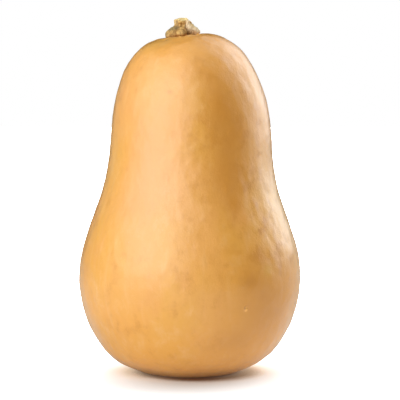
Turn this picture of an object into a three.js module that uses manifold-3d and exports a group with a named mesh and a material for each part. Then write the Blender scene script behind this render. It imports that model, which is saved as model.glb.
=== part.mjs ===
// Butternut squash: one grown fruit with its woody stem stub, standing upright on its blossom end.
// Millimetres, +Z up. The origin lies on the surface it stands on, under the middle of the fruit.
// An azimuth of 0 faces -Y and grows towards +X, so 90 degrees is the right-hand side.
import * as THREE from "three";
import { mergeVertices } from "three/addons/utils/BufferGeometryUtils.js";
import Module from "manifold-3d";

const { clamp, degToRad, lerp, smoothstep } = THREE.MathUtils;
const wasm = await Module();
wasm.setup();

// Fruit: driving dimensions
const BULB_RADIUS = 66.3;
const BULB_HEIGHT = 58; // height of the widest girth
const CROWN_HEIGHT = 202.2; // height of the skin under the stem, before the crown's tilt
const DEPTH_RATIO = 0.985; // front-to-back thickness over width
const FRUIT_SIDES = 64;
const FRUIT_STEPS = 2; // rings from one station of the outline to the next

// Half outline from the blossom end up to the crown: [radius, height]. Where it dips below zero the
// fruit is pressed flat, which makes the ring that it stands on.
const FRUIT_OUTLINE = [
  [0, 1.9],
  [3.4, 1.9],
  [5.2, 2.7],
  [9.5, 2.1],
  [16, 0.1],
  [24.2, -0.5],
  [33, 2.2],
  [43.7, 7.4],
  [52.8, 16],
  [60.9, 30],
  [65, 44],
  [BULB_RADIUS, BULB_HEIGHT],
  [64.3, 74],
  [58.9, 92],
  [52.9, 110],
  [49.3, 128],
  [47.7, 146],
  [45.5, 162],
  [41.2, 176],
  [35.5, 187],
  [28.1, 195.2],
  [18.8, 200.6],
  [12, CROWN_HEIGHT - 0.2],
  [6, CROWN_HEIGHT],
  [0, CROWN_HEIGHT],
];

// Fruit: what makes it a grown thing
const RIBS = 5;
const RIB_AZIMUTH = degToRad(-5); // the first rib, under the first ridge of the stem
const RIB_RELIEF = 0.22; // on the bulb and the neck
const CROWN_RIB_RELIEF = 0.75; // on the shoulder of the crown
const RIB_FADE_RADIUS = 20; // inside it the ribs die out towards the axis
const SHOULDER_HEIGHT = 196;
const SHOULDER_SPREAD = 13;
const HEEL_SWAY = { height: 7, spread: 7, shift: -0.6 }; // the underside is fuller on the left
const NECK_SWAY = { height: 141, spread: 26, shift: 1 }; // the neck bows to the right
const NECK_LEAN = 2.2; // the crown leans back by this
const CROWN_TILT = 0.14; // slope of the crown, down to the left
const CROWN_TILT_RADIUS = 15;

// Stem: driving dimensions, in a frame of its own that stands on the skin of the crown
const STEM_X = -4; // the stem stands left of the fruit's middle
const STEM_HEIGHT = 11;
const STEM_ROOT = -4; // the blank reaches this far below the skin, where the fruit cuts it off
const STEM_GAP = 0.3; // between the stem's foot and the skin
const STEM_SIDES = 60;
const STEM_STEPS = 2;
const CUT_SLOPE = 0.2; // the cut end faces up and a little forward

// Half outline of the stem along the crest of a ridge: [radius, height]. The radii of the groove
// between two ridges are given at the same heights.
const RIDGE_OUTLINE = [
  [0, STEM_ROOT],
  [9.6, STEM_ROOT],
  [10.7, -0.5],
  [10.6, 2.2],
  [9.4, 4.1],
  [7.2, 5.9],
  [5.7, 7.6],
  [5.6, 9.2],
  [4.9, 10.6],
  [3.2, STEM_HEIGHT],
  [1.4, STEM_HEIGHT - 0.7],
  [0, STEM_HEIGHT - 0.9],
];
const GROOVE_RADII = [0, 8.4, 8.8, 7.6, 5.2, 4.1, 4, 4.4, 4.1, 3, 1.4, 0];
const GROOVE_SHARPNESS = 0.7; // below 1 the ridges are broad and the grooves narrow
const RIDGE_TWIST = degToRad(-12); // turn of the ridges from foot to cut end

// How full each ridge stays below the cut end, from the first one round to the right: 1 is a buttress
// that runs straight down to its toe, 0 is pinched in under the head
const RIDGE_FULLNESS = [0.1, 1, 0.7, 0.5, 0.35];
const PINCH = 2.1; // taken off the neck of an empty ridge
const PINCH_HEIGHT = 5.8;
const PINCH_SPREAD = 1.9;

const WELD_DISTANCE = 1e-4; // vertices closer than this are one

const bell = (distance, spread) => Math.exp(-((distance / spread) ** 2));
const swayAt = ({ height, spread, shift }, z) => shift * bell(z - height, spread);
const splineOf = (stations) => new THREE.SplineCurve(stations.map(([r, z]) => new THREE.Vector2(r, z)));

// A closed body of revolution about Z through the stations of an outline
function turned(stations, steps, sides) {
  const profile = splineOf(stations).getPoints(steps * (stations.length - 1));
  profile[0].x = 0;
  profile[profile.length - 1].x = 0;
  return new THREE.LatheGeometry(profile, sides).rotateX(Math.PI / 2);
}

// Moves every vertex of a body of revolution. The change gets the vertex, and how far along the
// outline it lies: 0 at the first station, 1 at the last.
function reshape(geometry, change) {
  const position = geometry.getAttribute("position");
  const uv = geometry.getAttribute("uv");
  const point = new THREE.Vector3();
  for (let i = 0; i < position.count; i++) {
    change(point.fromBufferAttribute(position, i), uv.getY(i));
    position.setXYZ(i, point.x, point.y, point.z);
  }
  geometry.computeVertexNormals();
  return geometry;
}

function solidOf(geometry) {
  const bare = geometry.clone();
  bare.deleteAttribute("normal");
  bare.deleteAttribute("uv");
  const merged = mergeVertices(bare, WELD_DISTANCE);
  return new wasm.Manifold(
    new wasm.Mesh({
      numProp: 3,
      vertProperties: merged.getAttribute("position").array,
      triVerts: new Uint32Array(merged.index.array),
    }),
  );
}

function geometryOf(solid) {
  const { vertProperties, triVerts, numProp, numVert } = solid.getMesh();
  const vertices = new Float32Array(numVert * 3);
  for (let i = 0; i < numVert; i++) {
    vertices.set(vertProperties.subarray(i * numProp, i * numProp + 3), i * 3);
  }
  const geometry = new THREE.BufferGeometry();
  geometry.setAttribute("position", new THREE.BufferAttribute(vertices, 3));
  geometry.setIndex(new THREE.BufferAttribute(triVerts, 1));
  geometry.computeVertexNormals();
  return geometry;
}

// Faint ribs, two sways, a lean and a tilted crown turn the plain body into a grown one
function growFruit(point) {
  const azimuth = Math.atan2(point.x, -point.y);
  const radius = Math.hypot(point.x, point.y);
  const shoulder = bell(point.z - SHOULDER_HEIGHT, SHOULDER_SPREAD);
  const fade = Math.min(1, radius / RIB_FADE_RADIUS) ** 2;
  const relief = lerp(RIB_RELIEF, CROWN_RIB_RELIEF, shoulder) * fade;
  const grown = radius + relief * Math.cos(RIBS * (azimuth - RIB_AZIMUTH));
  const height = Math.max(0, point.z);
  point.x = grown * Math.sin(azimuth) + swayAt(HEEL_SWAY, height) + swayAt(NECK_SWAY, height);
  point.y = -grown * Math.cos(azimuth) * DEPTH_RATIO + NECK_LEAN * (height / CROWN_HEIGHT) ** 2;
  point.z = height;
  if (height > BULB_HEIGHT) point.z += CROWN_TILT * point.x * bell(radius, CROWN_TILT_RADIUS);
}

// How much of the ridge's radius, 0 to 1, a side of the stem takes at an azimuth and a rise
function ridgeShare(azimuth, rise) {
  const turn = azimuth - RIB_AZIMUTH - RIDGE_TWIST * rise;
  return (0.5 + 0.5 * Math.cos(RIBS * turn)) ** GROOVE_SHARPNESS;
}

// The fullness of the ridges, blended from each to the next round the stem
function fullness(azimuth) {
  const place = (((azimuth - RIB_AZIMUTH) / (2 * Math.PI)) * RIBS + 2 * RIBS) % RIBS;
  const index = Math.floor(place);
  const next = RIDGE_FULLNESS[(index + 1) % RIBS];
  return lerp(RIDGE_FULLNESS[index], next, smoothstep(place - index, 0, 1));
}

const grooveOutline = splineOf(RIDGE_OUTLINE.map(([, z], i) => [GROOVE_RADII[i], z]));

// Five ridges flare from the cut end down to the foot, which follows the slope of the crown
function growStem(point, along) {
  const azimuth = Math.atan2(point.x, -point.y);
  const crest = Math.hypot(point.x, point.y);
  const height = point.z;
  const rise = clamp(height / STEM_HEIGHT, 0, 1);
  const share = ridgeShare(azimuth, rise);
  const pinch = PINCH * (1 - fullness(azimuth)) * bell(height - PINCH_HEIGHT, PINCH_SPREAD);
  const groove = grooveOutline.getPoint(along).x;
  const radius = crest === 0 ? 0 : lerp(groove, crest, share) - pinch * share;
  point.x = radius * Math.sin(azimuth);
  point.y = -radius * Math.cos(azimuth);
  point.z += CROWN_TILT * point.x * (1 - rise);
  point.z += CUT_SLOPE * point.y * smoothstep(height, PINCH_HEIGHT, STEM_HEIGHT);
}

// Where the stem stands: the crown has leaned back and tilted there
const crownDrop = CROWN_TILT * STEM_X * bell(STEM_X, CROWN_TILT_RADIUS);
const stemBase = new THREE.Vector3(STEM_X, NECK_LEAN, CROWN_HEIGHT + crownDrop);

function makeFruit() {
  return reshape(turned(FRUIT_OUTLINE, FRUIT_STEPS, FRUIT_SIDES), growFruit);
}

// The fruit, raised by the gap, cuts off what lies below the skin
function makeStem(fruit) {
  const blank = reshape(turned(RIDGE_OUTLINE, STEM_STEPS, STEM_SIDES), growStem);
  const below = fruit.clone().translate(-stemBase.x, -stemBase.y, STEM_GAP - stemBase.z);
  return geometryOf(solidOf(blank).subtract(solidOf(below)));
}

const skin = new THREE.MeshStandardMaterial({ color: 0xe3a457, roughness: 0.42, metalness: 0 });
const cork = new THREE.MeshStandardMaterial({ color: 0xb58d54, roughness: 0.85, metalness: 0 });

const fruit = new THREE.Mesh(makeFruit(), skin);
fruit.name = "fruit";

const stem = new THREE.Mesh(makeStem(fruit.geometry), cork);
stem.name = "stem";
stem.position.copy(stemBase);

const squash = new THREE.Group();
squash.add(fruit, stem);
export default squash;
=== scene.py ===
"""Butternut squash: the finished rind and stem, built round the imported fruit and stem.

Every shape is a grid of points worked out in millimetres in the frame's own axes: +Z up, azimuth 0
facing -Y and growing towards +X. The grids become meshes in metres at the very end.
"""

import math

import bpy
import numpy as np
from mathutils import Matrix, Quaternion, Vector


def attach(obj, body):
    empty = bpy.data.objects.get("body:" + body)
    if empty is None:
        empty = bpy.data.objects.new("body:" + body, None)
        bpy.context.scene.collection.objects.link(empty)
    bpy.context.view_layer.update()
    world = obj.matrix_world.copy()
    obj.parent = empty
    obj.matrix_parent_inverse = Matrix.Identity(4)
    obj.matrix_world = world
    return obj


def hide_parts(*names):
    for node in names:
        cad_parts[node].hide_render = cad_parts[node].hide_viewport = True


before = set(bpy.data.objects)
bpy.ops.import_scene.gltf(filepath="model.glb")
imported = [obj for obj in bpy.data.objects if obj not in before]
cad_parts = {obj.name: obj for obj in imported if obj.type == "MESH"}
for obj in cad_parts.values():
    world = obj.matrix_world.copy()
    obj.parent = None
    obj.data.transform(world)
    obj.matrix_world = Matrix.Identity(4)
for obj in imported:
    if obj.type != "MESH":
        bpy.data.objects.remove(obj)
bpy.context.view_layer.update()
MM = 0.001

# ---------------------------------------------------------------- the fruit, in mm
# Half outline from the blossom end up to the crown: (radius, height)
FRUIT_OUTLINE = [
    (0, 1.9), (3.4, 1.9), (5.2, 2.7), (9.5, 2.1), (16, 0.1), (24.2, -0.5), (33, 2.2), (43.7, 7.4),
    (52.8, 16), (60.9, 30), (65, 44), (66.3, 58), (64.3, 74), (58.9, 92), (52.9, 110), (49.3, 128),
    (47.7, 146), (45.5, 162), (41.2, 176), (35.5, 187), (28.1, 195.2), (18.8, 200.2),
    (12, 201.7), (6, 201.9), (0, 201.9),
]
FRUIT_RINGS, FRUIT_SIDES = 370, 256
BULB_HEIGHT, CROWN_HEIGHT = 58, 201.9
DEPTH_RATIO = 0.985
RIBS = 5
RIB_AZIMUTH = math.radians(-5)
RIB_RELIEF, CROWN_RIB_RELIEF = 0.22, 0.75
RIB_FADE_RADIUS = 20
SHOULDER_HEIGHT, SHOULDER_SPREAD = 196, 13
SWAYS = [(7, 7, -0.6), (141, 26, 1.0)]  # height, spread, shift to the right
NECK_LEAN = 2.2
CROWN_TILT, CROWN_TILT_RADIUS = 0.14, 21

# Relief of the skin: how far it swells and sinks, over what distance it repeats and, where it is drawn
# out upwards, what its heights are multiplied by
SWELL_RELIEF, SWELL_LENGTH = 0.16, 58
RIPPLE_RELIEF, RIPPLE_LENGTH = 0.05, 21
DIMPLE_RELIEF, DIMPLE_LENGTH, DIMPLE_STRETCH = 0.042, 8.5, 0.75
PEBBLE_RELIEF, PEBBLE_LENGTH, PEBBLE_STRETCH = 0.028, 4.6, 0.85
STREAK_RELIEF, STREAK_LENGTH, STREAK_STRETCH = 0.01, 7, 0.12
CREASE_RELIEF, CREASE_LENGTH, CREASE_STRETCH = 0.07, 8, 0.75
NOTCH_RELIEF, NOTCH_LENGTH = 0.035, 4.4
RELIEF_FROM, RELIEF_FULL = 0.3, 9  # heights: the skin is smooth on the ring that it stands on
# Fields of the skin: azimuth, height, reach round the fruit as an angle, and reach upwards
WRINKLED_FIELD = (math.radians(52), 82, math.radians(24), 34)  # on the right of the bulb
WORN_FIELD = (math.radians(32), 145, math.radians(32), 45)  # on the right of the neck
WORN_SHARE = 0.8  # how worn the neck is beside the wrinkled field
# Folds of the wrinkled field: heights and azimuths in degrees along each, width, how far out
FOLDS = [
    ([49, 63, 76, 86, 96], [55.8, 55, 52.5, 48.4, 39.7], 1.2, -0.2),
    ([98, 112, 119], [40.8, 39, 37.8], 2.2, -0.16),
    ([59, 66, 76], [51.7, 50.7, 47.1], 1.6, 0.14),
    ([87, 94, 106], [45.6, 40.6, 34.9], 1.2, 0.1),
    ([96, 120, 145], [57, 52, 50], 1.8, 0.1),
]
FOLD_FADE = 5
# Dimples and knobs: azimuth in degrees, height, reach round the fruit and upwards, how far out
SKIN_LUMPS = [
    (39, 87, 3.6, 3, -0.14), (36.6, 73, 4, 3, -0.12), (44, 66, 4, 4, -0.1),
    (70.8, 66.5, 1.6, 2.2, -0.1), (40, 51, 3, 2.2, -0.08), (19.2, 69.6, 1.3, 1.3, -0.1),
    (22.3, 66.2, 1.2, 1.2, 0.05), (23.2, 72.2, 0.8, 2, -0.06), (30, 44, 0.7, 0.7, 0.08),
    (-88, 198, 3, 3, 0.5),
]
# Puckers round the stem, and how far the streaks push them aside
PUCKERS, PUCKER_RELIEF, PUCKER_RADIUS, PUCKER_SPREAD = 11, 0.3, 12.5, 4.5
PUCKER_WANDER = 0.8
# The corky button at the blossom end: its rim stands out, its middle sinks, and its face is grainy
SCAR_RADIUS, SCAR_EDGE = 4.6, 1.2
SCAR_RIM_RELIEF, SCAR_RIM_WIDTH = 0.5, 0.8
SCAR_DIP_RELIEF, SCAR_DIP_WIDTH = 0.5, 1.2
SCAR_GRAIN_RELIEF, SCAR_GRAIN_LENGTH = 0.12, 1.6
UNDERSIDE_FULL, UNDERSIDE_END = 3, 6  # heights over which the underside gives way to the side

# Marks on the skin: how strong, azimuth in degrees, height, and reach round the fruit and upwards
SKIN_MARKS = {
    # the third mark below, over the small pit, is painted shade on the pit's upper wall
    "bruise_and_shade": [(0.5, 40, 51, 3.4, 2.8), (0.35, -16, 169, 1.6, 1.0), (0.3, 31, 46, 1.2, 1.2)],
    # painted highlights: the first (the pit's lower lip) and third (a rib's flank); painted sheen: the
    # last
    "pale_and_highlight": [(1.0, 30, 43.6, 1.1, 0.9), (0.3, 22, 66, 1.4, 1.2), (0.4, 50, 67, 1.6, 9),
             (0.45, -92, 118, 15, 48)],
    # the broad marks below are painted shade where the lights do not reach; the small ones are skin
    # spots
    "ruddy_and_shade": [(0.5, 19, 70, 1.5, 1.3), (0.6, 54, 78, 1.4, 11), (0.85, 28, 145, 16, 46),
              (0.45, 42, 62, 24, 22), (0.45, 47, 38, 20, 15), (0.3, 26, 116, 14, 16),
              (0.25, 20, 163, 8, 14), (0.4, 28, 104, 4, 4), (0.5, 38, 74, 5, 4), (0.45, 33, 60, 6, 5),
              (0.4, 24, 25, 13, 8)],
    "rosy": [(0.8, -31, 130, 14, 50)],
    "amber": [(0.75, 46, 42, 32, 30)],
    "green": [(0.25, -61, 196, 9, 4), (0.3, 44, 66, 4, 4), (0.42, 78, 104, 24, 34)],
}

# ---------------------------------------------------------------- the stem, in mm
STEM_X = -4
STEM_HEIGHT = 11
CUT_SLOPE = 0.2
# Half outline along the crest of a ridge, and the radii of the groove beside it at the same heights.
# The foot curls in and ends inside the fruit.
RIDGE_OUTLINE = [
    (0, -2.4), (8.4, -2.4), (9.2, -0.9), (10.4, 0.8), (10.4, 2.3), (9.3, 4.1), (7.1, 5.9), (5.6, 7.4),
    (5.5, 8.8), (4.9, 10), (3.2, 10.4), (1.4, 9.8), (0, 9.6),
]
GROOVE_RADII = [0, 7.6, 7.9, 8.1, 7.2, 5.2, 4.1, 4, 4.3, 4, 3, 1.4, 0]
CUT_FROM, CUT_FULL = 8.7, 9.5  # stations of the outline over which the bark gives way to the cut end
CHIP_START, CHIP_HEIGHT, CHIP_SLOPE = 2.6, 10.4, 0.9  # the cut end is broken off on the right
CHIP_GRAIN = 0.6  # how much of the bark's relief the break keeps
GROOVE_SHARPNESS = 0.7
RIDGE_TWIST = math.radians(-12)
RIDGE_FULLNESS = [0.1, 1, 0.7, 0.5, 0.6]
PINCH, PINCH_HEIGHT, PINCH_SPREAD = 2.1, 5.8, 1.9
STEM_RINGS, STEM_SIDES = 200, 330
# Relief of the bark: how far it swells or how deep it is cut, over what distance it repeats, what its
# heights are multiplied by, and how wide the cuts are
KNOB_RELIEF, KNOB_LENGTH = 0.14, 3.4
CORD_RELIEF, CORD_LENGTH, CORD_STRETCH = 0.08, 2.4, 0.3
FURROW_DEPTH, FURROW_LENGTH, FURROW_STRETCH, FURROW_WIDTH = 0.24, 3.8, 0.3, 0.16
CRACK_DEPTH, CRACK_LENGTH, CRACK_STRETCH, CRACK_WIDTH = 0.15, 1.6, 0.4, 0.22
GRAIN_RELIEF, GRAIN_LENGTH, GRAIN_STRETCH = 0.05, 0.8, 0.3
CUT_RELIEF, CUT_LENGTH = 0.07, 0.9
HOLLOW_GAIN = 1.4  # how fast the bark counts as hollow with its depth
HEART_FROM, HEART_FULL = 1.5, 3.5  # radii: the folds fade out towards the middle of the cut end
LEAST_RADIUS = 1  # distances round the stem are measured no nearer to its axis
FOOT_FULL, FOOT_END = 0.3, 2.3  # heights over which the painted contact shadow at the foot gives way to the bark
# Ridges and creases of the stem: heights and azimuths in degrees along each, width, how far out
STEM_FOLDS = [
    ([-1, 1.7, 4.2, 6.9, 10.5], [58, 54, 40, 34, 37], 1.0, 0.6),  # crest down to the right toe
    ([-1, 2.5, 5], [-36, -34, -30], 0.8, -0.35),  # between the left and the front lobes
    ([7.5, 9, 10.5], [64, 62, 60], 0.8, -0.7),  # beside the crest in the head
]
STEM_FOLD_FADE = 1
# Lumps and hollows of the stem: azimuth in degrees, height, reach round it, reach up it, how far out
STEM_LUMPS = [
    (35, 1.2, 2.8, 1.8, -1.5),  # hollow under the crest
    (88, 9.6, 2.2, 1, -0.5),  # the head is narrower here
    (80, 7, 2.4, 1.5, 0.6), (78, 1.8, 2.4, 1.2, 0.5),  # right flank and toe
    (-80, 3.8, 3, 2.4, 0.7),  # shoulder of the left lobe
    (-8, 2.2, 2.4, 1.5, 0.15),  # front lobe
    (-80, 8.8, 2.2, 0.9, -0.2),  # side of the head
    (-5, 6.6, 2.6, 1.3, -0.4),  # waist in front
]
# Marks on the stem: how strong, azimuth in degrees, height, and reach round the stem and upwards
STEM_MARKS = {
    # partly the crest's own worn colour, partly a painted highlight where the crest and toe catch the
    # light
    "cream": [(1.0, 36, 9, 1.0, 2.2), (0.9, 36, 6, 1.2, 2), (1.0, 50, 3.5, 2.2, 1.4),
              (0.8, 61, 1.4, 2.2, 1.6)],
    "lichen": [(0.9, 72, 5, 3, 2.6), (0.6, 84, 2.5, 3, 2), (0.35, -75, 9, 2, 1.6)],
    # partly painted shade at the left lobe's lower edge and the toe's end, partly dark green weathering
    "moss_and_shade": [(0.7, -82, 2, 2.6, 2.4), (1.0, -72, 5, 4.5, 1.2), (1.0, -100, 3.4, 3.4, 2.8),
             (0.9, 98, 1.4, 3, 1.4)],
    # painted shade, dark brown, in the hollow under the crest, a crease of the head, under the head,
    # between lobes
    "stain_and_shade": [(0.9, 37, 1.8, 3, 2.3), (0.9, 62, 9, 0.8, 1.4), (0.25, -2, 4.6, 5, 3),
              (0.4, -33, 2, 1.2, 3)],
}


# ---------------------------------------------------------------- shared shape functions
WAVE_COUNT = 28


def bell(distance, spread):
    """exp(-(distance / spread)^2): 1 in the middle, near 0 two spreads away."""
    return np.exp(-((distance / spread) ** 2))


def smooth(value, low, high):
    """3 t^2 - 2 t^3 of t = (value - low) / (high - low) held to 0..1."""
    t = np.clip((value - low) / (high - low), 0, 1)
    return t * t * (3 - 2 * t)


def turn_between(azimuth, other):
    """The difference of two azimuths, taken the short way round."""
    return (azimuth - other + math.pi) % (2 * math.pi) - math.pi


def spline(stations, share):
    """Uniform Catmull-Rom curve through the stations, a cubic of t between two of them, at shares 0 to
    1 of its length in stations."""
    points = np.asarray(stations, float)
    last = len(points) - 1
    place = np.clip(share, 0, 1) * last
    i = np.minimum(place.astype(int), last - 1)
    t = (place - i)[..., None]
    before, a, b, after = (points[np.clip(i + k, 0, last)] for k in (-1, 0, 1, 2))
    leave, arrive = (b - before) / 2, (after - a) / 2
    return ((2 * a - 2 * b + leave + arrive) * t**3
            + (3 * b - 3 * a - 2 * leave - arrive) * t**2 + leave * t + a)


def waves(points, length, seed):
    """Sum of cosines of 2 pi (direction . point) / length + phase over WAVE_COUNT random directions
    and phases, scaled to a root mean square of 1."""
    draw = np.random.default_rng(seed)
    directions = draw.normal(size=(WAVE_COUNT, 3))
    directions /= np.linalg.norm(directions, axis=1, keepdims=True)
    phases = draw.uniform(0, 2 * math.pi, WAVE_COUNT)
    angles = points @ directions.T * (2 * math.pi / length) + phases
    return np.cos(angles).sum(-1) / math.sqrt(WAVE_COUNT / 2)


def round_the_axis(azimuth, radius, height, stretch):
    """(radius sin azimuth, -radius cos azimuth, height * stretch): waves over these points run in
    long streaks from foot to top where stretch is small."""
    return np.stack([radius * np.sin(azimuth), -radius * np.cos(azimuth), height * stretch], -1)


def spot(azimuth, radius, height, at_azimuth, at_height, across, tall):
    """bell of the distance round the axis over across, times bell of the rise over tall."""
    away = turn_between(azimuth, math.radians(at_azimuth)) * radius
    return bell(away, across) * bell(height - at_height, tall)


def fold(azimuth, radius, height, heights, azimuths, width, fade):
    """bell over width of the distance round the axis from the line through azimuths at heights,
    eased to nothing over fade beyond the line's two ends."""
    away = turn_between(azimuth, np.radians(np.interp(height, heights, azimuths))) * radius
    foot, top = heights[0], heights[-1]
    within = smooth(height, foot - fade, foot) * (1 - smooth(height, top, top + fade))
    return bell(away, width) * within


def field(azimuth, height, at_azimuth, at_height, angle, spread):
    """bell of the turn from at_azimuth over angle, times bell of the rise over spread."""
    return bell(turn_between(azimuth, at_azimuth), angle) * bell(height - at_height, spread)


def folds_at(place, folds, fade):
    """The sum of the folds at a place, each times how far out it stands."""
    return sum(out * fold(*place, *line, fade) for *line, out in folds)


def lumps_at(place, lumps):
    """The sum of the spots at a place, each times how far out it stands."""
    return sum(out * spot(*place, *reach) for *reach, out in lumps)


def marks_at(place, marks, share=1):
    """For each kind of mark, share times the sum of its spots, each times how strong it is, held to
    0..1."""
    return {kind: np.clip(share * sum(amount * spot(*place, *reach) for amount, *reach in spots), 0, 1)
            for kind, spots in marks.items()}


def normals_of(points):
    """Unit cross product of the grid's steps to the next side and to the next ring, outwards."""
    up = np.gradient(points, axis=0)
    on = np.roll(points, -1, 1) - np.roll(points, 1, 1)
    normal = np.cross(on, up)
    length = np.linalg.norm(normal, axis=-1, keepdims=True)
    poles = np.zeros_like(normal)
    poles[0, :, 2], poles[-1, :, 2] = -1, 1
    return np.where(length > 1e-9, normal / np.maximum(length, 1e-9), poles)


def grid_of(rings, sides):
    """Shares 0 to 1 along an outline and azimuths once round, as two grids."""
    return np.meshgrid(np.linspace(0, 1, rings), np.linspace(-math.pi, math.pi, sides, endpoint=False),
                       indexing="ij")


def closed_grid(name, points, attributes):
    """A mesh over points[ring, side], closed round the sides and with a fan to a pole at both ends.
    The first and the last ring give the poles. Each attribute is a grid of one number per point."""
    rings, sides = points.shape[:2]
    body = points[1:-1].reshape(-1, 3)
    vertices = np.vstack([points[0].mean(0)[None], body, points[-1].mean(0)[None]]) * MM
    ring, side = np.meshgrid(np.arange(rings - 3), np.arange(sides), indexing="ij")
    after = (side + 1) % sides
    a, b = 1 + ring * sides + side, 1 + ring * sides + after
    quads = np.stack([a, b, b + sides, a + sides], -1).reshape(-1, 4)
    start, top = np.arange(sides), 1 + (rings - 3) * sides
    low_fan = np.stack([np.zeros(sides, int), 1 + (start + 1) % sides, 1 + start], -1)
    high_fan = np.stack([top + start, top + (start + 1) % sides, np.full(sides, len(vertices) - 1)], -1)
    mesh = bpy.data.meshes.new(name)
    mesh.from_pydata(vertices, [], np.vstack([low_fan, high_fan]).tolist() + quads.tolist())
    mesh.polygons.foreach_set("use_smooth", [True] * len(mesh.polygons))
    for key, grid in attributes.items():
        values = np.concatenate([[grid[0].mean()], grid[1:-1].ravel(), [grid[-1].mean()]])
        layer = mesh.attributes.new(key, "FLOAT", "POINT")
        layer.data.foreach_set("value", values.astype(np.float32))
    piece = bpy.data.objects.new(name, mesh)
    bpy.context.scene.collection.objects.link(piece)
    return piece


# ---------------------------------------------------------------- fruit
def grown_skin(share, azimuth):
    """Outline radius and height at share, turned to azimuth. Five ribs add to the radius, sways and a
    lean move the middle, the foot is pressed flat at zero and the crown slopes down to the left."""
    outline = spline(FRUIT_OUTLINE, share)
    radius, height = np.maximum(outline[..., 0], 0), outline[..., 1]
    shoulder = bell(height - SHOULDER_HEIGHT, SHOULDER_SPREAD)
    relief = RIB_RELIEF + (CROWN_RIB_RELIEF - RIB_RELIEF) * shoulder
    fade = np.minimum(1, radius / RIB_FADE_RADIUS) ** 2
    grown = radius + relief * fade * np.cos(RIBS * (azimuth - RIB_AZIMUTH))
    height = np.maximum(0, height)
    x = grown * np.sin(azimuth) + sum(shift * bell(height - at, spread) for at, spread, shift in SWAYS)
    y = -grown * np.cos(azimuth) * DEPTH_RATIO + NECK_LEAN * (height / CROWN_HEIGHT) ** 2
    tilt = np.where(height > BULB_HEIGHT, CROWN_TILT * x * bell(radius, CROWN_TILT_RADIUS), 0)
    return np.stack([x, y, height + tilt], -1)


def make_fruit():
    """The grown skin, moved along its normals by waves of falling length: swells, ripples, dimples,
    pebbles and streaks, with creases and notches in the wrinkled field. On top come folds and lumps,
    puckers by cos(11 azimuth) in a collar round the stem, and the corky button underneath, by a bell
    at its rim less a bell in its middle. Worn is the wrinkled field and a share of the worn one."""
    share, azimuth = grid_of(FRUIT_RINGS, FRUIT_SIDES)
    points = grown_skin(share, azimuth)
    radius, height = np.hypot(points[..., 0], points[..., 1]), points[..., 2]
    place = (azimuth, radius, height)
    streaks = waves(round_the_axis(*place, STREAK_STRETCH), STREAK_LENGTH, seed=3)
    wrinkled = field(azimuth, height, *WRINKLED_FIELD)
    weathered = field(azimuth, height, *WORN_FIELD)

    def drawn_out(length, stretch, seed):
        return waves(points * (1, 1, stretch), length, seed)

    relief = smooth(height, RELIEF_FROM, RELIEF_FULL) * (
        SWELL_RELIEF * waves(points, SWELL_LENGTH, seed=1)
        + RIPPLE_RELIEF * waves(points, RIPPLE_LENGTH, seed=2)
        + DIMPLE_RELIEF * drawn_out(DIMPLE_LENGTH, DIMPLE_STRETCH, seed=5)
        + PEBBLE_RELIEF * drawn_out(PEBBLE_LENGTH, PEBBLE_STRETCH, seed=6)
        + STREAK_RELIEF * streaks
        + CREASE_RELIEF * wrinkled * drawn_out(CREASE_LENGTH, CREASE_STRETCH, seed=4)
        + NOTCH_RELIEF * wrinkled * waves(points, NOTCH_LENGTH, seed=8))
    relief += folds_at(place, FOLDS, FOLD_FADE)
    relief += lumps_at(place, SKIN_LUMPS)
    from_stem = np.hypot(points[..., 0] - STEM_X, points[..., 1] - NECK_LEAN)
    on_crown = smooth(height, BULB_HEIGHT, CROWN_HEIGHT)
    collar = bell(from_stem - PUCKER_RADIUS, PUCKER_SPREAD) * on_crown
    relief += PUCKER_RELIEF * collar * np.cos(PUCKERS * azimuth + PUCKER_WANDER * streaks)
    underside = 1 - smooth(height, UNDERSIDE_FULL, UNDERSIDE_END)
    scar = (1 - smooth(radius, SCAR_RADIUS - SCAR_EDGE, SCAR_RADIUS)) * underside
    relief += underside * (SCAR_RIM_RELIEF * bell(radius - SCAR_RADIUS, SCAR_RIM_WIDTH)
                           - SCAR_DIP_RELIEF * bell(radius, SCAR_DIP_WIDTH)
                           + SCAR_GRAIN_RELIEF * scar * waves(points, SCAR_GRAIN_LENGTH, seed=7))
    points = points + normals_of(points) * relief[..., None]
    points[..., 2] = np.maximum(points[..., 2], 0)
    worn = np.clip(wrinkled + WORN_SHARE * weathered, 0, 1)
    return closed_grid("butternut_fruit", points, {
        "collar": collar, "scar": scar, "worn": worn, **marks_at(place, SKIN_MARKS)})


# ---------------------------------------------------------------- stem
def fullness(azimuth):
    """RIDGE_FULLNESS of the ridges, blended from each to the next round the stem by 3 t^2 - 2 t^3."""
    place = ((azimuth - RIB_AZIMUTH) / (2 * math.pi) * RIBS) % RIBS
    index = place.astype(int) % RIBS
    levels = np.array(RIDGE_FULLNESS)
    here, there = levels[index], levels[(index + 1) % RIBS]
    return here + (there - here) * smooth(place - index, 0, 1)


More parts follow.
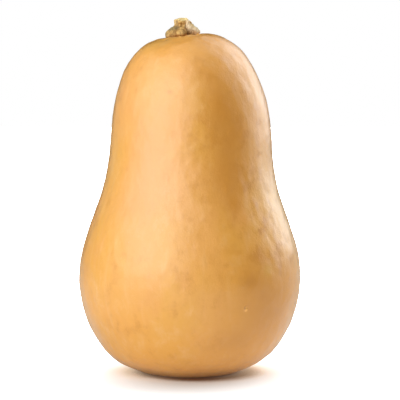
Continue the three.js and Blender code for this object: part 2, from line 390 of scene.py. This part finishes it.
def make_stem():
    """Radius between groove and ridge by (0.5 + 0.5 cos(5 azimuth))^0.7, pinched under the head where
    a ridge is empty. Knobs, cords and grain (waves), furrows and cracks (bells where a wave crosses
    zero), folds and lumps move it along its normals. The foot follows the crown's slope, the cut end
    slopes forward, and a slanted plane takes off what lies above CHIP_HEIGHT - CHIP_SLOPE
    (x - CHIP_START)."""
    share, azimuth = grid_of(STEM_RINGS, STEM_SIDES)
    outline = spline(RIDGE_OUTLINE, share)
    crest, height = outline[..., 0], outline[..., 1]
    groove = spline([(r, z) for r, (_, z) in zip(GROOVE_RADII, RIDGE_OUTLINE)], share)[..., 0]
    rise = np.clip(height / STEM_HEIGHT, 0, 1)
    ridge_turn = azimuth - RIB_AZIMUTH - RIDGE_TWIST * rise
    on_ridge = (0.5 + 0.5 * np.cos(RIBS * ridge_turn)) ** GROOVE_SHARPNESS
    pinch = PINCH * (1 - fullness(azimuth)) * bell(height - PINCH_HEIGHT, PINCH_SPREAD)
    radius = groove + (crest - groove) * on_ridge - pinch * on_ridge
    radius[[0, -1]] = 0
    x, y = radius * np.sin(azimuth), -radius * np.cos(azimuth)
    slope = CROWN_TILT * x * (1 - rise) + CUT_SLOPE * y * smooth(height, PINCH_HEIGHT, STEM_HEIGHT)
    points = np.stack([x, y, height + slope], -1)

    cut = smooth(share * (len(RIDGE_OUTLINE) - 1), CUT_FROM, CUT_FULL)
    bark = 1 - cut
    twisted = azimuth - RIDGE_TWIST * rise

    def along(length, stretch, seed):
        return waves(round_the_axis(twisted, radius, height, stretch), length, seed)

    relief = bark * (
        KNOB_RELIEF * waves(points, KNOB_LENGTH, seed=11)
        + CORD_RELIEF * along(CORD_LENGTH, CORD_STRETCH, seed=12)
        - FURROW_DEPTH * bell(along(FURROW_LENGTH, FURROW_STRETCH, seed=15), FURROW_WIDTH)
        - CRACK_DEPTH * bell(along(CRACK_LENGTH, CRACK_STRETCH, seed=16), CRACK_WIDTH)
        + GRAIN_RELIEF * along(GRAIN_LENGTH, GRAIN_STRETCH, seed=13))
    relief += cut * CUT_RELIEF * waves(points, CUT_LENGTH, seed=14)
    hollow = np.clip(0.5 - HOLLOW_GAIN * relief, 0, 1)
    place = (azimuth, np.maximum(radius, LEAST_RADIUS), height)
    relief += smooth(radius, HEART_FROM, HEART_FULL) * folds_at(place, STEM_FOLDS, STEM_FOLD_FADE)
    relief += lumps_at(place, STEM_LUMPS)
    points = points + normals_of(points) * relief[..., None]
    chip = CHIP_HEIGHT - CHIP_SLOPE * (points[..., 0] - CHIP_START) + CHIP_GRAIN * relief
    points[..., 2] = np.minimum(points[..., 2], chip)
    crown_drop = CROWN_TILT * STEM_X * bell(STEM_X, CROWN_TILT_RADIUS)
    points += (STEM_X, NECK_LEAN, CROWN_HEIGHT + crown_drop)
    foot = 1 - smooth(height, FOOT_FULL, FOOT_END)
    return closed_grid("butternut_stem", points, {
        "cut": cut, "ridge": on_ridge, "hollow": hollow, "foot": foot,
        **marks_at(place, STEM_MARKS, bark)})


fruit = make_fruit()
stem = make_stem()


# ---------------------------------------------------------------- materials
NOISE_LUMP = 0.6  # breadth of a lump of the noise node at a scale of 1


class Finish:
    """One material, and short names for the nodes that it is painted with."""

    def __init__(self, name):
        self.material = bpy.data.materials.new(name)
        self.material.use_nodes = True
        self.tree = self.material.node_tree
        self.shader = self.tree.nodes["Principled BSDF"]
        self.place = self.tree.nodes.new("ShaderNodeTexCoord").outputs["Object"]

    def set(self, **sockets):
        """Plain numbers and colours on the shader: Coat_Weight=1 sets "Coat Weight"."""
        for key, value in sockets.items():
            self.shader.inputs[key.replace("_", " ")].default_value = value

    def link(self, source, socket):
        """Joins a node's result to a socket of the shader."""
        self.tree.links.new(source, self.shader.inputs[socket])

    def feed(self, socket, value):
        """Puts a plain value or another node's result into a socket of a node."""
        if isinstance(value, bpy.types.NodeSocket):
            self.tree.links.new(value, socket)
        else:
            socket.default_value = value

    def node(self, kind, inputs, **settings):
        """A node with its settings, whose inputs are plain values or other nodes' results."""
        node = self.tree.nodes.new("ShaderNode" + kind)
        for key, value in settings.items():
            setattr(node, key, value)
        for key, value in inputs.items():
            self.feed(node.inputs[key], value)
        return node

    def attribute(self, name):
        """A number that the mesh carries at each of its points."""
        return self.node("Attribute", {}, attribute_name=name).outputs["Fac"]

    def math(self, operation, *values):
        """The result of one operation on up to three values."""
        return self.node("Math", dict(enumerate(values)), operation=operation).outputs["Value"]

    def times(self, value, other):
        """The product of two values."""
        return self.math("MULTIPLY", value, other)

    def between(self, value, low, high, start=0, end=1):
        """value from low..high to start..end, eased at both ends."""
        return self.node("MapRange", {"Value": value, "From Min": low, "From Max": high, "To Min": start,
                                      "To Max": end}, interpolation_type="SMOOTHSTEP").outputs["Result"]

    def mix(self, share, colour, other):
        """colour where share is 0, other where it is 1."""
        node = self.node("Mix", {}, data_type="RGBA")
        sockets = {socket.identifier: socket for socket in node.inputs}
        self.feed(sockets["Factor_Float"], share)
        for name, tint in (("A_Color", colour), ("B_Color", other)):
            self.feed(sockets[name], (*tint, 1) if isinstance(tint, tuple) else tint)
        return next(result for result in node.outputs if result.identifier == "Result_Color")

    def stretched(self, along=1, offset=(0, 0, 0)):
        """The place in the piece, with its height multiplied by along, moved by offset metres."""
        return self.node("Mapping", {"Vector": self.place, "Scale": (1, 1, along),
                                     "Location": offset}).outputs["Vector"]

    def noise(self, size, detail=3, roughness=0.5, **mapping):
        """Even noise of 0 to 1, with lumps of about size millimetres. The mapping stretches or moves
        the place first."""
        place = self.stretched(**mapping) if mapping else self.place
        return self.node("TexNoise", {"Vector": place, "Scale": NOISE_LUMP / (size * MM),
                                      "Detail": detail, "Roughness": roughness}).outputs["Fac"]

    def cloud(self, size, low, high, least=0, most=1, **noise):
        """Noise in lumps of about size millimetres, from least where it is low to most where it is
        high."""
        return self.between(self.noise(size, **noise), low, high, least, most)

    def cells(self, size, **mapping):
        """Distance from the nearest of a scatter of points about size millimetres apart."""
        place = self.stretched(**mapping) if mapping else self.place
        return self.node("TexVoronoi", {"Vector": place, "Scale": 1 / (size * MM)}).outputs["Distance"]

    def near(self, point, full, reach):
        """1 within full millimetres of a point, 0 beyond reach millimetres."""
        away = self.node("VectorMath", {0: self.place, 1: tuple(MM * c for c in point)},
                         operation="DISTANCE")
        return self.between(away.outputs["Value"], full * MM, reach * MM, start=1, end=0)

    def bump(self, height, depth, under=None):
        """Relief of depth millimetres for a height of 0 to 1, on top of the relief under it."""
        inputs = {"Height": height, "Distance": depth * MM, "Strength": 1.0}
        if under is not None:
            inputs["Normal"] = under
        return self.node("Bump", inputs).outputs["Normal"]


# Paints of the rind
APRICOT = (0.82, 0.40, 0.10)
OCHRE = (0.80, 0.40, 0.072)
ROSE = (0.80, 0.365, 0.11)
RIPE = (0.83, 0.39, 0.058)
AMBER = (0.83, 0.355, 0.025)
CARAMEL = (0.61, 0.255, 0.036)
STRAW = (0.90, 0.55, 0.22)
OLIVE = (0.73, 0.46, 0.08)
BRUISE = (0.50, 0.20, 0.075)
# painted highlight: the lit lower lip of the small pit
LIP_HIGHLIGHT = (1.0, 0.52, 0.12)
CORK_BROWN = (0.36, 0.20, 0.09)

# What paints each kind of mark on the rind, in the order in which they go on
RIND_MARKS = (("bruise_and_shade", BRUISE), ("pale_and_highlight", STRAW), ("rosy", ROSE), ("amber", AMBER),
              ("ruddy_and_shade", CARAMEL), ("green", OLIVE), ("scar", CORK_BROWN))
BULB_RIPE, CROWN_RIPE = (0.01, 0.11), (0.17, 0.198)  # heights in metres over which ripeness changes
# a highlight is painted on the pit's lower lip
PIT, PIT_LIP = (32.6, -55.3, 44.9), (32.5, -55.0, 43.6)  # a small pit in the skin, and its lower lip
PORE_DEPTH, LINE_DEPTH, RIND_GRAIN_DEPTH, PIT_DEPTH = 0.03, 0.05, 0.25, 0.6
SHINY_RIND, SCUFFED_RIND, ROUGHER_SCAR = 0.34, 0.46, 0.4
WAX_ROUGHNESS = 0.24
PLANT_IOR = 1.45
FRECKLES_SHOW, COLLAR_SHOWS = 0.35, 0.15


def rind_finish():
    """Waxed skin. Ochre and apricot clouds with rosy ones over them, riper on the bulb and the crown;
    fine mottling, faint light straw streaks drawn out from end to end, caramel patches where it is
    worn, light straw freckles, a greener collar, and the marks in their order, among them painted
    shade, painted highlights and a painted sheen. Scuffs break the gloss, and pores, lines, grain and
    one small pit are in relief, with a painted highlight on the lip under the pit."""
    skin = Finish("rind_skin")
    height = skin.node("SeparateXYZ", {"Vector": skin.place}).outputs["Z"]
    colour = skin.mix(skin.cloud(24, 0.35, 0.65, along=0.7), OCHRE, APRICOT)
    colour = skin.mix(skin.cloud(11, 0.5, 0.75, most=0.5, along=0.6, offset=(0.3, 0, 0)), colour, ROSE)
    ripe = skin.times(skin.between(height, *BULB_RIPE, start=0.75, end=0),
                      skin.cloud(45, 0.35, 0.6, least=0.55, detail=2, offset=(0.2, 0.7, 0)))
    ripe = skin.math("MAXIMUM", ripe, skin.between(height, *CROWN_RIPE, end=0.8))
    colour = skin.mix(ripe, colour, RIPE)
    mottle = skin.noise(6, detail=7, roughness=0.72, along=0.75)
    colour = skin.mix(skin.between(mottle, 0.5, 0.8, end=0.6), colour, CARAMEL)
    colour = skin.mix(skin.between(mottle, 0.5, 0.2, end=0.45), colour, STRAW)
    streaks = skin.cloud(3.2, 0.5, 0.85, most=0.3, along=0.12, offset=(0.7, 0.2, 0))
    colour = skin.mix(streaks, colour, STRAW)
    patches = skin.cloud(5, 0.47, 0.66, detail=5, roughness=0.65, along=0.9, offset=(0.1, 0.6, 0))
    colour = skin.mix(skin.times(patches, skin.attribute("worn")), colour, CARAMEL)
    freckles = skin.times(skin.between(skin.cells(5.5, along=0.7), 0.04, 0.11, start=1, end=0),
                          skin.cloud(30, 0.5, 0.62, detail=2, offset=(0.9, 0, 0.4)))
    colour = skin.mix(skin.times(freckles, FRECKLES_SHOW), colour, STRAW)
    colour = skin.mix(skin.times(skin.attribute("collar"), COLLAR_SHOWS), colour, OLIVE)
    for kind, paint in RIND_MARKS:
        colour = skin.mix(skin.attribute(kind), colour, paint)
    skin.link(skin.mix(skin.near(PIT_LIP, 0.5, 1.3), colour, LIP_HIGHLIGHT), "Base Color")

    scuffs = skin.cloud(4, 0.3, 0.7, SHINY_RIND, SCUFFED_RIND, detail=5, roughness=0.6, along=0.4)
    skin.link(skin.math("ADD", scuffs, skin.times(skin.attribute("scar"), ROUGHER_SCAR)), "Roughness")
    pores = skin.bump(skin.between(skin.cells(1.6), 0, 0.35), PORE_DEPTH)
    lines = skin.bump(skin.noise(1.2, detail=2, along=0.3), LINE_DEPTH, pores)
    grain = skin.noise(3.2, detail=5, roughness=0.68, along=0.8, offset=(0, 0.4, 0))
    grained = skin.bump(grain, RIND_GRAIN_DEPTH, lines)
    pitted = skin.bump(skin.near(PIT, 0.2, 1.5), -PIT_DEPTH, grained)
    skin.link(pitted, "Normal")
    skin.link(pitted, "Coat Normal")
    skin.set(IOR=PLANT_IOR, Coat_Weight=1.0, Coat_Roughness=WAX_ROUGHNESS, Coat_IOR=PLANT_IOR)
    return skin.material


# Paints of the stem
HUSK = (0.56, 0.31, 0.08)
HUSK_PALE = (0.76, 0.49, 0.17)
HUSK_DARK = (0.22, 0.085, 0.012)
# painted contact shadow at the stem's foot
FOOT_SHADOW_BROWN = (0.29, 0.11, 0.016)
LICHEN = (0.66, 0.57, 0.33)
MOSS = (0.23, 0.18, 0.08)
CREAM = (0.95, 0.77, 0.50)
CUT_PALE = (0.82, 0.66, 0.30)
CUT_TAN = (0.62, 0.42, 0.15)
FIBRE_DEPTH, BARK_GRAIN_DEPTH = 0.12, 0.25
SMOOTHEST_CORK, ROUGHEST_CORK = 0.65, 0.9
FOOT_SHOWS = 0.9


def stem_finish():
    """Dry corky stem: husk brown and lighter tan in patches, with painted shade darkening the grooves
    and hollows, a painted highlight lightening what stands out and a painted contact shadow, dark
    rust-brown, at the foot; then grey-green lichen on the weathered flank, cream on the crest, partly
    worn and partly a painted highlight, dark green-brown blotches, partly weathering and partly
    painted shade, dark brown blotches of painted shade in hollows and creases, and a straw-coloured
    cut end. Fibres and grain are in relief."""
    cork = Finish("stem_cork")
    hollow = cork.attribute("hollow")
    colour = cork.mix(cork.cloud(2.2, 0.35, 0.65, detail=4), HUSK, HUSK_PALE)
    # painted shade darkens the grooves and the sunken relief; a painted highlight lightens what stands
    # out
    grooves = cork.between(cork.attribute("ridge"), 0.05, 0.6, start=0.5, end=0)
    colour = cork.mix(grooves, colour, HUSK_DARK)
    colour = cork.mix(cork.between(hollow, 0.55, 0.95, end=0.55), colour, HUSK_DARK)
    colour = cork.mix(cork.between(hollow, 0.1, 0.45, start=0.4, end=0), colour, HUSK_PALE)
    # painted contact shadow where the stem meets the fruit
    colour = cork.mix(cork.times(cork.attribute("foot"), FOOT_SHOWS), colour, FOOT_SHADOW_BROWN)
    colour = cork.mix(cork.attribute("lichen"), colour, LICHEN)
    # partly worn colour, partly a painted highlight on the crest and toe
    colour = cork.mix(cork.attribute("cream"), colour, CREAM)
    blotches = cork.cloud(1.6, 0.3, 0.6, least=0.5, detail=4, offset=(0.2, 0.5, 0))
    # dark green blotches, partly painted shade at the lobe's lower edge and the toe's end
    colour = cork.mix(cork.times(cork.attribute("moss_and_shade"), blotches), colour, MOSS)
    # painted shade in the stem's hollows and creases, in blotches
    colour = cork.mix(cork.times(cork.attribute("stain_and_shade"), blotches), colour, HUSK_DARK)
    end = cork.mix(cork.cloud(0.7, 0.4, 0.7), CUT_PALE, CUT_TAN)
    cork.link(cork.mix(cork.attribute("cut"), colour, end), "Base Color")

    cork.link(cork.cloud(1.2, 0.3, 0.7, SMOOTHEST_CORK, ROUGHEST_CORK), "Roughness")
    fibres = cork.bump(cork.noise(0.35, along=0.2), FIBRE_DEPTH)
    grain = cork.noise(0.8, detail=5, roughness=0.6, along=0.6)
    cork.link(cork.bump(grain, BARK_GRAIN_DEPTH, fibres), "Normal")
    cork.set(IOR=PLANT_IOR)
    return cork.material


for piece, node, slot, finish in ((fruit, "fruit", "rind", rind_finish()),
                                  (stem, "stem", "stem", stem_finish())):
    piece.data.materials.append(finish)
    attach(piece, "root")
    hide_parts(node)


# ---------------------------------------------------------------- stage, in metres
FLOOR_SIZE = 8
FLOOR_PAINT, SEEN_DARKER, MIRRORED_DARKER = 0.9, 0.2, 0.32
FLOOR_ROUGHNESS, FLOOR_SPECULAR = 0.9, 0.1
SHADE_MIDDLE = (0.003, -0.043)  # where the glow is least
SHADE_DEPTH = 0.88  # what a metre of depth counts there
NEAR_REACH, NEAR_GLOW = 0.108, 0.95
FAR_REACH, FAR_GLOW = 0.32, 1.95
CORNER_REACH, CORNER_POWER = 0.25, 0.25  # how near a thing closes off the floor, and how much it dims
CORNER_SAMPLES = 16
PATCH_MIDDLE, PATCH_REACH, PATCH_GLOW = (0.12, 0.03), 0.16, 0.33  # light thrown back at the fruit
WARM, WARM_FULL, WARM_END = (1, 0.78, 0.54), 0.2, 0.52  # the glow's tint, and where openness ends it
BROWN, BROWN_FULL, BROWN_END = (0.3, 0.15, 0.07), 0.2, 0.34  # the same for the paint, whose brown is a painted shadow
LEFT_CLEAR = 6  # openness that a metre to the left adds for the brown
WHITE = (1, 1, 1)
AMBIENT = 0.03
# Softboxes: azimuth and elevation in degrees, width and height, radiance, roll in degrees
SOFTBOXES = {
    "key": (-42.5, 21, (0.95, 1.1), 1.12, -8),
    "key_spread": (-44, 30, (1.95, 1.5), 1.0, 0),
    "key_wall": (-46, 36, (3.0, 2.0), 0.8, 0),
    "rim": (124, 30, (0.7, 1.1), 1.25, 0),
    "rim_spread": (122, 32, (1.4, 1.45), 0.95, 0),
    "rim_wall": (119, 30, (2.1, 1.6), 0.72, 0),
    "left_wall": (-128, 22, (1.3, 1.2), 0.15, 0),
    "overhead": (0, 90, (1.2, 1.2), 0.7, 0),
}
SOFTBOX_DISTANCE = 1.3
SOFTBOX_AIM = Vector((0, 0, 0.1))  # the middle of the fruit


def make_floor():
    """A white floor. To the camera it glows into the white behind: smoothstep of the distance from the
    middle of the shade, near and far added, times openness to a power. Where little of the sky reaches
    it the glow is warm and, except on the left, the paint is brown, a painted shadow. To all that it
    lights it has plain paint and no glow but that of one patch on the right."""
    bpy.ops.mesh.primitive_plane_add(size=FLOOR_SIZE)
    floor = bpy.context.object
    floor.name = "floor"
    white = Finish("floor_white")
    white.set(Roughness=FLOOR_ROUGHNESS, Specular_IOR_Level=FLOOR_SPECULAR)
    ray = white.node("LightPath", {}).outputs
    seen = ray["Is Camera Ray"]
    unseen = white.math("SUBTRACT", 1, seen)
    corners = white.node("AmbientOcclusion", {"Distance": CORNER_REACH}, samples=CORNER_SAMPLES)
    openness = corners.outputs["AO"]

    def ramp(middle, reach, start, end, depth=1):
        """start at middle and end from reach metres away, where a metre of depth counts depth times."""
        squeezed = white.node("VectorMath", {0: white.place, 1: (1, depth, 1)}, operation="MULTIPLY")
        away = white.node("VectorMath", {0: squeezed.outputs[0], 1: (middle[0], middle[1] * depth, 0)},
                          operation="DISTANCE")
        return white.between(away.outputs["Value"], 0, reach, start, end)

    near = ramp(SHADE_MIDDLE, NEAR_REACH, 0, NEAR_GLOW, SHADE_DEPTH)
    far = ramp(SHADE_MIDDLE, FAR_REACH, 0, FAR_GLOW, SHADE_DEPTH)
    glow = white.times(white.math("ADD", near, far), white.math("POWER", openness, CORNER_POWER))
    patch = ramp(PATCH_MIDDLE, PATCH_REACH, PATCH_GLOW, 0)
    strength = white.math("ADD", white.times(glow, seen), white.times(patch, unseen))
    white.link(strength, "Emission Strength")
    white.link(white.mix(white.between(openness, WARM_FULL, WARM_END), WARM, WHITE), "Emission Color")

    across = white.node("SeparateXYZ", {"Vector": white.place}).outputs["X"]
    to_left = white.math("MAXIMUM", white.times(across, -LEFT_CLEAR), 0)
    clean = white.between(white.math("ADD", openness, to_left), BROWN_FULL, BROWN_END)
    # painted shadow: brown paint under the fruit, where little of the sky reaches
    tint = white.mix(white.math("MAXIMUM", clean, unseen), BROWN, WHITE)
    paint = white.math("MULTIPLY_ADD", seen, -SEEN_DARKER, FLOOR_PAINT)
    paint = white.math("MULTIPLY_ADD", ray["Is Glossy Ray"], -MIRRORED_DARKER, paint)
    painted = white.node("VectorMath", {0: tint, "Scale": paint}, operation="SCALE")
    white.link(painted.outputs[0], "Base Color")
    floor.data.materials.append(white.material)


def make_world():
    """White to the eye, and a dim even grey to everything that it lights."""
    world = bpy.data.worlds.new("studio")
    bpy.context.scene.world = world
    world.use_nodes = True
    nodes, links = world.node_tree.nodes, world.node_tree.links
    sky = nodes["Background"]
    sky.inputs["Color"].default_value = (*WHITE, 1)
    ray = nodes.new("ShaderNodeLightPath")
    level = nodes.new("ShaderNodeMapRange")
    level.inputs["To Min"].default_value = AMBIENT
    level.inputs["To Max"].default_value = 1
    links.new(ray.outputs["Is Camera Ray"], level.inputs["Value"])
    links.new(level.outputs["Result"], sky.inputs["Strength"])


def direction(azimuth, elevation):
    """(sin azimuth cos elevation, -cos azimuth cos elevation, sin elevation), from degrees."""
    turn, lift = math.radians(azimuth), math.radians(elevation)
    return Vector((math.sin(turn) * math.cos(lift), -math.cos(turn) * math.cos(lift), math.sin(lift)))


def make_softbox(name, azimuth, elevation, size, radiance, roll):
    """A rectangular light that looks at the middle of the fruit. Its power is radiance times pi times
    its area, and the roll turns it in its own plane."""
    light = bpy.data.lights.new(name, "AREA")
    light.shape = "RECTANGLE"
    light.size, light.size_y = size
    light.energy = radiance * math.pi * size[0] * size[1]
    box = bpy.data.objects.new(name, light)
    bpy.context.scene.collection.objects.link(box)
    box.location = SOFTBOX_AIM + SOFTBOX_DISTANCE * direction(azimuth, elevation)
    facing = (SOFTBOX_AIM - box.location).to_track_quat("-Z", "Y")
    box.rotation_euler = (facing @ Quaternion((0, 0, 1), math.radians(roll))).to_euler()
    box.visible_camera = False


make_floor()
make_world()
for name, settings in SOFTBOXES.items():
    make_softbox(name, *settings)

# ---------------------------------------------------------------- camera, in mm
CAMERA_X, CAMERA_BACK, CAMERA_HEIGHT, AIM_HEIGHT = 6.0, 1300, 195, 103.4
VIEW_WIDTH = 240  # what the view takes in, across, at the squash
SENSOR_WIDTH = 36


def make_camera():
    """Stands in front of the fruit and looks a little down at its middle. The lens is the sensor's
    width times the distance over the width of the view."""
    lens_data = bpy.data.cameras.new("camera")
    camera = bpy.data.objects.new("camera", lens_data)
    bpy.context.scene.collection.objects.link(camera)
    camera.location = Vector((CAMERA_X, -CAMERA_BACK, CAMERA_HEIGHT)) * MM
    aim = Vector((CAMERA_X, 0, AIM_HEIGHT)) * MM
    camera.rotation_euler = (aim - camera.location).to_track_quat("-Z", "Y").to_euler()
    lens_data.sensor_width = SENSOR_WIDTH
    lens_data.lens = SENSOR_WIDTH * (aim - camera.location).length / (VIEW_WIDTH * MM)
    bpy.context.scene.camera = camera


make_camera()
bpy.context.scene.view_settings.view_transform = "Standard"
